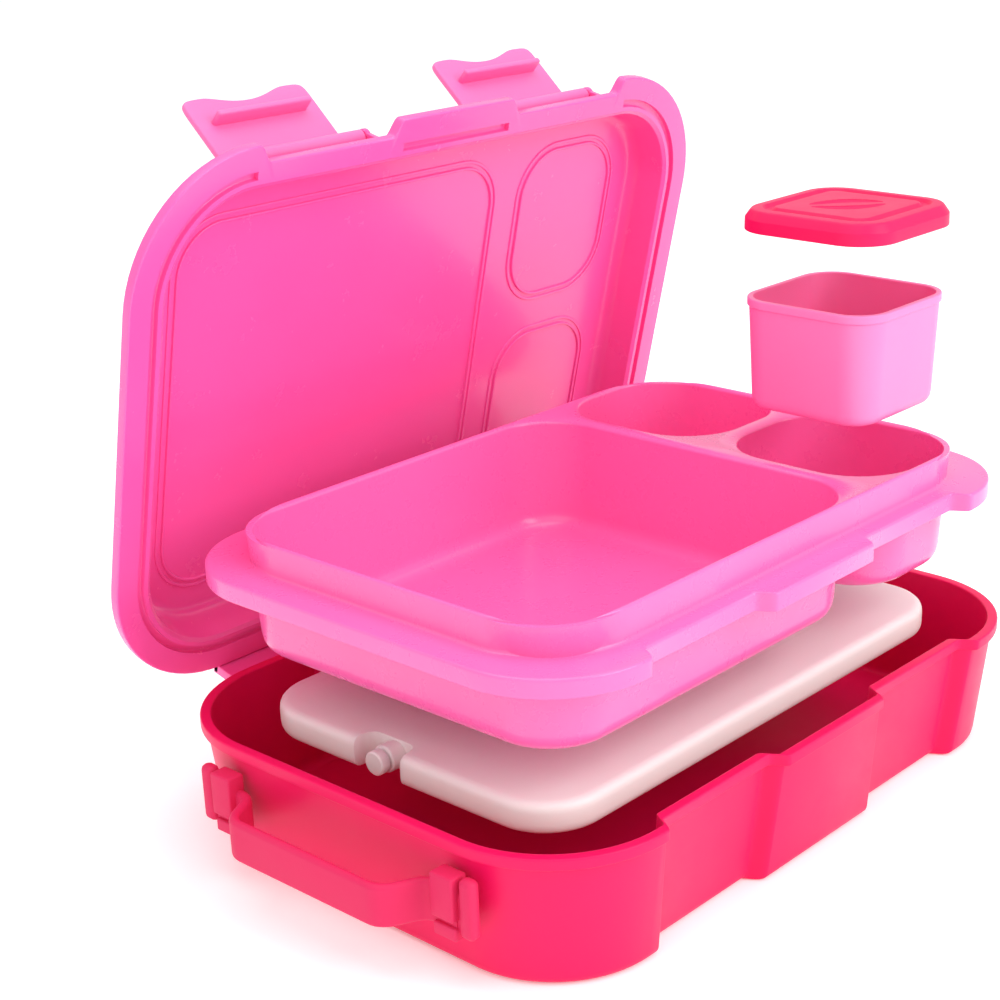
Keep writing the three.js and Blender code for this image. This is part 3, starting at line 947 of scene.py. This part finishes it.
@dataclass(frozen=True)
class Lid:
    """The candy-pink lid, drawn shut with its rim plane at zero and then stood open."""

    half_x: float = 142.8
    half_y: float = 100.8
    radius: float = 50.0
    plate: float = 4.0
    ceiling: float = 16.0
    wall: float = 2.2
    inset: float = 14.5
    draft: float = 2.5
    shoulder: float = 7.0
    groove_from: float = 8.6  # insets of the seal groove's sides
    groove_to: float = 11.6
    groove_deep: float = 2.0
    rib_rows: tuple[tuple[float, float, float], ...] = ((2.6, 1.5, 0.55), (5.2, 1.3, 0.85))
    barrel_radius: float = 4.3
    barrel_from: float = 46.4
    barrel_to: float = 93.6
    leaf_top: float = 3.4
    ear_radius: float = 2.9
    ear_thick: float = 2.2
    ear_offsets: tuple[float, float] = (-30.1, 27.9)  # outer and inner ear of a latch

    def shell(self) -> bpy.types.Mesh:
        """Rim flange, seal groove, cavity and dome.

        Returns:
            The shell, with the lid shut and its rim plane at zero.
        """
        rim = Outline(self.half_x, self.half_y, self.radius, recessed=True)
        plain = Outline(self.half_x, self.half_y, self.radius)
        top = self.ceiling + self.wall
        deep = self.inset + self.draft
        side = self.inset - self.wall
        flange = moulded(
            "flange",
            rim,
            [(side + 8, 0, 0), (0, 0, 0.7), (0, self.plate, 0.9), (side + 8, self.plate, 0)],
        )
        dome = moulded(
            "dome",
            plain,
            [
                (side + 6, 0.4, 0),
                (side, 0.4, 0),
                (side + self.draft, top, self.shoulder),
                (deep + 20, top, 0),
            ],
        )
        hollow = moulded(
            "hollow",
            plain,
            [
                (self.inset + 2, -3, 0),
                (self.inset - 1.6, -3, 0),
                (self.inset - 1.4, 0.0, 0.5),
                (self.inset + 0.2, 0.9, 0.6),
                (deep, self.ceiling, self.shoulder - 1.5),
                (deep + 20, self.ceiling, 0),
            ],
        )
        steps = [("UNION", dome), ("DIFFERENCE", hollow), ("DIFFERENCE", self.groove(plain))]
        return carved("lid_shell", flange, steps)

    def groove(self, plain: Outline) -> bpy.types.Mesh:
        """The channel for the seal, left out along the two latch recesses.

        Args:
            plain: the lid's outline without recesses.

        Returns:
            The solid to cut away.
        """
        first, last, deep, draft = self.groove_from, self.groove_to, self.groove_deep, 0.1
        corners = [
            (first, -1.0, 0),
            (first + draft, deep, 0.6),
            (last - draft, deep, 0.6),
            (last, -1.0, 0),
            (first, -1.0, 0),
        ]
        channel = loop_skin("channel", stacked(plain, filleted(corners)[:-1]))
        keep_out = [
            ("DIFFERENCE", block("keep", (middle - 33, -102, -3), (middle + 33, -82, 4), 0.3))
            for middle in LATCH_MIDDLES.values()
        ]
        return carved("channel", channel, keep_out)

    def outlines(self) -> bpy.types.Mesh:
        """Raised double outlines on the lid's inside, one pair for each pocket.

        Returns:
            All six loops in one mesh.
        """
        parts = []
        for outline in POCKETS.outlines():
            for inset, wide, tall in self.rib_rows:
                low = self.ceiling - tall
                corners = [
                    (inset, self.ceiling + 0.3, 0),
                    (inset + 0.2, low, 0.4),
                    (inset + wide - 0.2, low, 0.4),
                    (inset + wide, self.ceiling + 0.3, 0),
                ]
                parts.append(loop_skin("rib", stacked(outline, filleted(corners))))
        return gathered("pocket_outlines", parts)

    def knuckles(self) -> bpy.types.Mesh:
        """The two long hinge barrels and the leaves that carry them.

        Returns:
            Barrels, leaves and bridges in one mesh.
        """
        parts = []
        z = HINGE_Z - LID_SEAT
        for low, high in (
            (-self.barrel_to, -self.barrel_from),
            (self.barrel_from, self.barrel_to),
        ):
            parts.append(bar("barrel", self.barrel_radius, low, high, HINGE_Y, z))
            near, far = low + 0.2, high - 0.2
            leaf = (near, HINGE_Y - 3.4, z), (far, HINGE_Y + 0.5, self.leaf_top)
            bridge = (near, self.half_y - 2, 0.9), (far, HINGE_Y, self.leaf_top + 0.1)
            parts += [block("leaf", *leaf, 0.5), block("bridge", *bridge, 0.4)]
        return gathered("hinge_knuckles", parts)

    def latch_lugs(self) -> bpy.types.Mesh:
        """The ears on the lid's shoulder between which each latch turns.

        Returns:
            The four ears in one mesh.
        """
        parts = []
        foot_back = -self.half_y + self.inset + 0.5
        for middle in LATCH_MIDDLES.values():
            for offset in self.ear_offsets:
                x = middle + offset
                end = x + self.ear_thick
                parts.append(bar("ear", self.ear_radius, x, end, LATCH_Y, LATCH_Z))
                low, high = (x + 0.1, LATCH_Y - 2.0, 2.5), (end - 0.1, foot_back, LATCH_Z + 1)
                parts.append(block("ear_foot", low, high, 0.4))
        return gathered("latch_ears", parts)

    def dress(self) -> None:
        """Adds the lid's pieces in their open place."""
        place = lid_place()
        for name, mesh, *nodes in (
            ("lid_shell", self.shell(), "lid_shell"),
            ("pocket_outlines", self.outlines()),
            ("hinge_knuckles", self.knuckles()),
            ("latch_ears", self.latch_lugs()),
        ):
            piece(name, moved(mesh, place), "lid", Slot.LID, *nodes)


# --- latches


@dataclass(frozen=True)
class Latch:
    """One snap latch, drawn hanging from its pin and then swung up behind the lid."""

    wide: float = 54.8
    long: float = 33.1
    thick: float = 2.5
    out: float = 8.4
    barrel: float = 2.8
    hook_down: float = 20.6
    hook_wide: float = 42.0
    hook_thick: float = 2.3
    corner: float = 9.0
    corner_steps: int = 10
    dip: float = 3.4
    dip_steps: int = 12
    edge_round: float = 0.8
    root: float = 1.2  # half the arm's height, where the flap's sides start
    rod_radius: float = 1.4
    rod_half: float = 29.8

    def edge(self) -> list[Point2]:
        """The flap's outline: straight sides, two humps and the dip between them.

        Returns:
            Points from the left root round to the right one.
        """
        half, end = self.wide / 2, -self.long
        near, above, low = half - self.corner, end + self.corner, end + self.dip
        points = bezier([(0, low), (half / 3, low), (half / 2, end), (near, end)], self.dip_steps)
        corner = [(near, end), (half, end), (half, end), (half, above)]
        points += bezier(corner, self.corner_steps)[1:]
        points.append((half, self.root))
        return [(-x, z) for x, z in reversed(points[1:])] + points

    def flap(self) -> bpy.types.Mesh:
        """The flap with its arm, barrel and hook rib.

        Returns:
            One mesh, hanging from its pin at the origin.
        """
        work = bmesh.new()
        face = -self.out - self.thick / 2 + 0.05
        verts = [work.verts.new(Vector((x, face, z)) * MM) for x, z in self.edge()]
        sheet = work.faces.new(verts)
        swept = bmesh.ops.extrude_face_region(work, geom=[sheet])
        inner = [v for v in swept["geom"] if isinstance(v, bmesh.types.BMVert)]
        bmesh.ops.translate(work, verts=inner, vec=Vector((0, self.thick - 0.1, 0)) * MM)
        bmesh.ops.recalc_face_normals(work, faces=work.faces)
        rims = [e for e in work.edges if e.calc_face_angle(0) > math.radians(60)]
        bmesh.ops.bevel(
            work,
            geom=rims,
            offset=self.edge_round * MM,
            segments=4,
            profile=0.5,
            affect="EDGES",
            clamp_overlap=True,
        )
        mesh = bpy.data.meshes.new("flap")
        work.to_mesh(mesh)
        work.free()
        half, hook = self.wide / 2, self.hook_wide / 2
        arm = block("arm", (-half, -self.out - 1.0, -self.root), (half, 0.4, self.root), 0.7)
        barrel = bar("barrel", self.barrel, -half, half, 0, 0)
        rib_low = (-hook, -self.out, -self.hook_down - self.hook_thick)
        rib = block("rib", rib_low, (hook, -1.5, -self.hook_down), 0.9)
        return gathered("latch", [finished(mesh), arm, barrel, rib])

    def dress(self, side: str, middle: float) -> None:
        """Adds one latch and its pin.

        Args:
            side: left or right.
            middle: x of the latch's middle.
        """
        pivot = lid_place() @ Matrix.Translation((middle, LATCH_Y, LATCH_Z))
        swung = pivot @ Matrix.Rotation(-LATCH_OPEN, 4, "X")
        flap, body = moved(self.flap(), swung), f"latch_{side}_flap"
        piece(f"{side}_latch_flap", flap, body, Slot.LATCH, f"latch_{side}")
        rod = moved(bar("rod", self.rod_radius, -self.rod_half, self.rod_half, 0, 0), pivot)
        piece(f"{side}_latch_rod", rod, "lid", Slot.LATCH, f"latch_pin_{side}")


# --- cold pack


@dataclass(frozen=True)
class ColdPack:
    """The frosted cold pack with its filler neck in a notch of the left end."""

    half_x: float = 114.4
    half_y: float = 69.9
    radius: float = 22.0
    tall: float = 11.2
    edge: float = 3.6
    height: float = 40.8
    filler_y: float = 8.0
    notch_wide: float = 22.0
    notch_deep: float = 9.0
    notch_round: float = 4.5
    neck_radius: float = 4.9
    head_radius: float = 4.3
    stem_radius: float = 2.7

    def skin(self) -> bpy.types.Mesh:
        """The pillow-edged skin with its notch.

        Returns:
            The skin, standing on zero.
        """
        outline = Outline(self.half_x, self.half_y, self.radius)
        corners = [(16, 0, 0), (0, 0, self.edge), (0, self.tall, self.edge), (16, self.tall, 0)]
        pillow = moulded("pillow", outline, corners)
        half = self.notch_wide / 2
        low = (-self.half_x - 12, self.filler_y - half, -6)
        high = (-self.half_x + self.notch_deep, self.filler_y + half, self.tall + 6)
        notch = block("notch", low, high, self.notch_round)
        axis = (self.filler_y, self.tall / 2)
        neck = bar("neck", self.neck_radius, -self.half_x + 3, -self.half_x + 14, *axis)
        return carved("pack_skin", pillow, [("DIFFERENCE", notch), ("UNION", neck)])

    def plug(self) -> bpy.types.Mesh:
        """The filler plug's round head and stem.

        Returns:
            Head and stem in one mesh.
        """
        axis = (self.filler_y, self.tall / 2)
        head = bar("head", self.head_radius, -self.half_x - 1.5, -self.half_x + 2.5, *axis)
        stem = bar("stem", self.stem_radius, -self.half_x + 1, -self.half_x + 9, *axis)
        return gathered("filler_plug", [head, stem])

    def dress(self) -> None:
        """Adds the cold pack's pieces."""
        place = raised(self.height)
        for name, mesh, node in (
            ("pack_skin", self.skin(), "cold_pack_shell"),
            ("filler_plug", self.plug(), "cold_pack_plug"),
        ):
            piece(name, moved(mesh, place), "cold_pack", Slot.PACK, node)


# --- tray


@dataclass(frozen=True)
class Tray:
    """The divided tray: skirted flange, raised rim and three hanging pockets."""

    half_x: float = 132.4
    half_y: float = 91.6
    radius: float = 38.0
    plate: float = 2.0
    skirt: float = 6.6
    rise_x: float = 120.0
    rise_y: float = 78.5
    rise_radius: float = 34.0
    rise: float = 11.0
    wall: float = 1.8
    depth: float = 42.8
    draft: float = 3.0
    foot: float = 7.5
    rim_drop: float = 0.9  # how far the pockets' rims lie below the top of the raised rim
    height: float = 104.4

    def shell(self) -> bpy.types.Mesh:
        """The whole tray in one moulding.

        Returns:
            The tray, with its flange's top at zero.
        """
        outer = Outline(self.half_x, self.half_y, self.radius, recessed=True)
        rise = Outline(self.rise_x, self.rise_y, self.rise_radius)
        skirt = moulded(
            "skirt",
            outer,
            [
                (18, -self.plate, 0),
                (self.plate, -self.plate, 0.6),
                (self.plate, -self.skirt, 0.5),
                (0, -self.skirt, 0.6),
                (0, 0, 1.2),
                (18, 0, 0),
            ],
        )
        raised_rim = moulded(
            "raised_rim",
            rise,
            [
                (12, -self.plate + 0.1, 0),
                (-1.4, -self.plate + 0.1, 0),
                (-1.4, -0.1, 0),
                (0.0, 0.6, 1.4),
                (1.0, self.rise, 0.9),
                (12, self.rise, 0),
            ],
        )
        under = moulded(
            "under",
            rise,
            [
                (14, -self.plate - 1, 0),
                (2.0, -self.plate - 1, 0),
                (3.0, self.rise - 2, 1.5),
                (14, self.rise - 2, 0),
            ],
        )
        floor = self.rise - self.depth
        low, brim = floor - self.wall, self.rise - self.rim_drop
        steps = [("UNION", raised_rim), ("DIFFERENCE", under)]
        for outline in POCKETS.outlines():
            corners = [
                (16, low, 0),
                (self.draft - self.wall, low, self.foot + self.wall),
                (-self.wall, brim, 0),
                (16, brim, 0),
            ]
            steps.append(("UNION", moulded("pocket_out", outline, corners)))
        for outline in POCKETS.outlines():
            corners = [
                (16, floor, 0),
                (self.draft, floor, self.foot),
                (0.5, brim, 1.2),
                (-1.0, self.rise + 0.15, 0.2),
                (-1.0, self.rise + 3, 0),
                (16, self.rise + 3, 0),
            ]
            steps.append(("DIFFERENCE", moulded("pocket_in", outline, corners)))
        return carved("tray_moulding", skirt, steps)

    def dress(self) -> None:
        """Adds the tray."""
        mesh = moved(self.shell(), raised(self.height))
        piece("tray_moulding", mesh, "food_tray", Slot.TRAY, "tray")


# --- dip cup


@dataclass(frozen=True)
class DipCup:
    """The lidded dip cup."""

    half: float = 28.4
    radius: float = 13.0
    tall: float = 41.5
    wall: float = 1.6
    draft: float = 1.8
    lip: float = 0.6
    lid_half: float = 30.4
    lid_radius: float = 15.1
    lid_tall: float = 7.0
    band_tall: float = 3.4
    scoop_radius: float = 10.0
    scoop_stretch: tuple[float, float, float] = (1.35, 0.34, 0.13)
    scoop_offset: float = 6.0
    scoop_bow: float = 0.022  # per mm, how fast the scoop's ends curl towards the middle

    def cup(self) -> bpy.types.Mesh:
        """The cup: drafted walls, rounded foot and a narrow rim band.

        Returns:
            The cup, standing on zero.
        """
        outline = Outline(self.half + self.lip, self.half + self.lip, self.radius + self.lip)
        band = self.tall - self.band_tall
        corners = [
            (14, 0, 0),
            (self.lip + self.draft, 0, 5.0),
            (self.lip + 0.1, band, 0.2),
            (0, band + 0.5, 0.3),
            (0, self.tall, 0.6),
            (self.lip + self.wall, self.tall, 0.6),
            (self.lip + self.wall + self.draft, self.wall, 4.0),
            (14, self.wall, 0),
        ]
        return moulded("cup_wall", outline, corners)

    def cover(self) -> bpy.types.Mesh:
        """The cup's lid: skirt, raised border, sunken square ring and grip scoops.

        Returns:
            The lid, with its skirt's edge at zero.
        """
        outline = Outline(self.lid_half, self.lid_half, self.lid_radius)
        top = self.lid_tall + 0.75
        corners = [
            (14, 5.0, 0),
            (1.1, 5.0, 0.4),
            (1.1, 0.0, 0.3),
            (0.0, 0.0, 0.4),
            (0.1, 4.4, 0.6),
            (2.4, top - 0.2, 1.6),
            (6.2, top, 0.8),
            (7.4, top - 1.3, 0.7),
            (9.6, top - 1.3, 0.7),
            (11.0, top, 0.8),
            (14, top, 0),
        ]
        body = moulded("cover_blank", outline, corners)
        scoops = [("DIFFERENCE", self.scoop(side, top)) for side in (-1, 1)]
        return carved("cup_cover_moulding", body, scoops)

    def scoop(self, side: int, top: float) -> bpy.types.Mesh:
        """A crescent finger scoop beside the middle of the lid.

        Args:
            side: -1 or 1, the side of the middle it lies on.
            top: height of the lid's top face.

        Returns:
            The solid to cut away.
        """
        work = bmesh.new()
        radius = self.scoop_radius * MM
        bmesh.ops.create_uvsphere(work, u_segments=40, v_segments=24, radius=radius)
        long, wide, deep = self.scoop_stretch
        for vert in work.verts:
            x = vert.co.x * long
            bow = self.scoop_offset * MM - self.scoop_bow / MM * x * x
            y = vert.co.y * wide + side * bow
            vert.co = Vector((x, y, vert.co.z * deep + (top + 0.1) * MM))
        turn = Matrix.Rotation(math.radians(-45), 3, "Z")
        bmesh.ops.rotate(work, verts=work.verts, cent=Vector(), matrix=turn)
        mesh = bpy.data.meshes.new("scoop")
        work.to_mesh(mesh)
        work.free()
        return finished(mesh)

    def dress(self) -> None:
        """Adds the cup and its lid over the front small pocket."""
        for name, mesh, body, slot, node in (
            ("cup_wall", self.cup(), "cup", Slot.CUP, "dip_cup"),
            ("cup_cover_moulding", self.cover(), "cup_cover", Slot.CUP_LID, "dip_cup_lid"),
        ):
            low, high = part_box(node)
            middle = (low + high) / 2 / MM
            piece(name, moved(mesh, raised(low.z / MM, middle.x, middle.y)), body, slot, node)


# --- studio


@dataclass(frozen=True)
class SoftLight:
    """A square soft box that faces the lunch box."""

    name: str
    place_m: tuple[float, float, float]
    size_m: float
    watts: float

    def build(self) -> None:
        """Adds the light."""
        data = bpy.data.lights.new(self.name, "AREA")
        data.shape, data.size, data.energy = "SQUARE", self.size_m, self.watts
        lamp = placed(self.name, data)
        lamp.location = self.place_m
        aim = Vector(Studio.AIM_M) - Vector(self.place_m)
        lamp.rotation_euler = aim.to_track_quat("-Z", "Y").to_euler()


class Studio:
    """Camera, floor and light."""

    LENS_MM = 70.63
    SENSOR_MM = 36.0
    SHIFT = (-0.0443, 0.0873)
    EYE_MM = (-507.7, -425.4, 342.0)
    RIGHT = (0.6635, -0.7478, -0.0257)
    UP = (0.2953, 0.2302, 0.9272)
    AIM_M = (0.0, 0.0, 0.1)
    GLOW = 0.82  # light from all round; the backdrop itself shows as full white
    FLOOR_GLOW = 0.2  # lifts the far floor to the white of the backdrop
    FLOOR_REACH_M = 6.0
    FLOOR_Z_M = -0.0004
    FIBRES_PER_M = 900.0
    LIGHTS = (
        SoftLight("front_key", (0.35, -1.5, 1.1), 1.3, 17.0),
        SoftLight("left_fill", (-1.5, -0.5, 0.9), 1.4, 3.0),
        SoftLight("overhead", (0.0, 0.1, 1.7), 1.6, 12.0),
    )

    def build(self) -> None:
        """Adds the camera, the pale floor, the lights and the surrounding glow."""
        self._camera()
        self._floor()
        for light in self.LIGHTS:
            light.build()
        world = bpy.data.worlds.new("studio_glow")
        world.use_nodes = True
        tree = world.node_tree
        tree.nodes.clear()
        white = linear("ffffff")
        glow = add_node(tree, "ShaderNodeBackground", Color=white, Strength=self.GLOW)
        sweep = add_node(tree, "ShaderNodeBackground", Color=white, Strength=1.0)
        seen = add_node(tree, "ShaderNodeLightPath").outputs["Is Camera Ray"]
        both = add_node(tree, "ShaderNodeMixShader", Fac=seen)
        tree.links.new(glow.outputs["Background"], both.inputs[1])
        tree.links.new(sweep.outputs["Background"], both.inputs[2])
        out = add_node(tree, "ShaderNodeOutputWorld")
        tree.links.new(both.outputs["Shader"], out.inputs["Surface"])
        bpy.context.scene.world = world
        bpy.context.scene.view_settings.view_transform = "Standard"

    def _camera(self) -> None:
        """Adds the camera and looks through it."""
        data = bpy.data.cameras.new("studio_camera")
        data.lens, data.sensor_width = self.LENS_MM, self.SENSOR_MM
        data.shift_x, data.shift_y = self.SHIFT
        data.clip_start, data.clip_end = 0.01, 50.0
        eye = placed("studio_camera", data)
        right = Vector(self.RIGHT).normalized()
        back = right.cross(Vector(self.UP)).normalized()
        up = back.cross(right)
        turn = Matrix((right, up, back)).transposed().to_4x4()
        eye.matrix_world = Matrix.Translation(Vector(self.EYE_MM) * MM) @ turn
        bpy.context.scene.camera = eye

    def _floor(self) -> None:
        """Adds the pale floor, which belongs to the stage and not to the lunch box."""
        mesh = bpy.data.meshes.new("studio_floor")
        reach, z = self.FLOOR_REACH_M, self.FLOOR_Z_M
        corners = [(-reach, -reach, z), (reach, -reach, z), (reach, reach, z), (-reach, reach, z)]
        mesh.from_pydata(corners, [], [(0, 1, 2, 3)])
        material = bpy.data.materials.new("pale_paper")
        material.use_nodes = True
        tree = material.node_tree
        skin = tree.nodes["Principled BSDF"]
        skin.inputs["Base Color"].default_value = linear("fdfdfc")
        skin.inputs["Roughness"].default_value = 0.9
        skin.inputs["Emission Color"].default_value = linear("ffffff")
        skin.inputs["Emission Strength"].default_value = self.FLOOR_GLOW
        place = add_node(tree, "ShaderNodeTexCoord").outputs["Object"]
        fibre = add_node(tree, "ShaderNodeTexNoise", Vector=place, Scale=self.FIBRES_PER_M)
        relief = add_node(
            tree, "ShaderNodeBump", Height=fibre.outputs["Fac"], Strength=0.05, Distance=0.0002
        )
        tree.links.new(relief.outputs["Normal"], skin.inputs["Normal"])
        mesh.materials.append(material)
        placed("studio_floor", mesh)


def dress_kept_nodes() -> None:
    """Gives the CAD nodes that stay in view their finish."""
    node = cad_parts["cold_pack_gel"]
    node.data.materials.clear()
    node.data.materials.append(PALETTE.of(Slot.GEL))


def main() -> None:
    """Builds the studio and every piece."""
    logging.basicConfig(level=logging.INFO)
    Studio().build()
    Box().dress()
    CarryHandle().dress()
    Lid().dress()
    for side, middle in LATCH_MIDDLES.items():
        Latch().dress(side, middle)
    ColdPack().dress()
    Tray().dress()
    DipCup().dress()
    dress_kept_nodes()


if __name__ == "__main__":
    main()
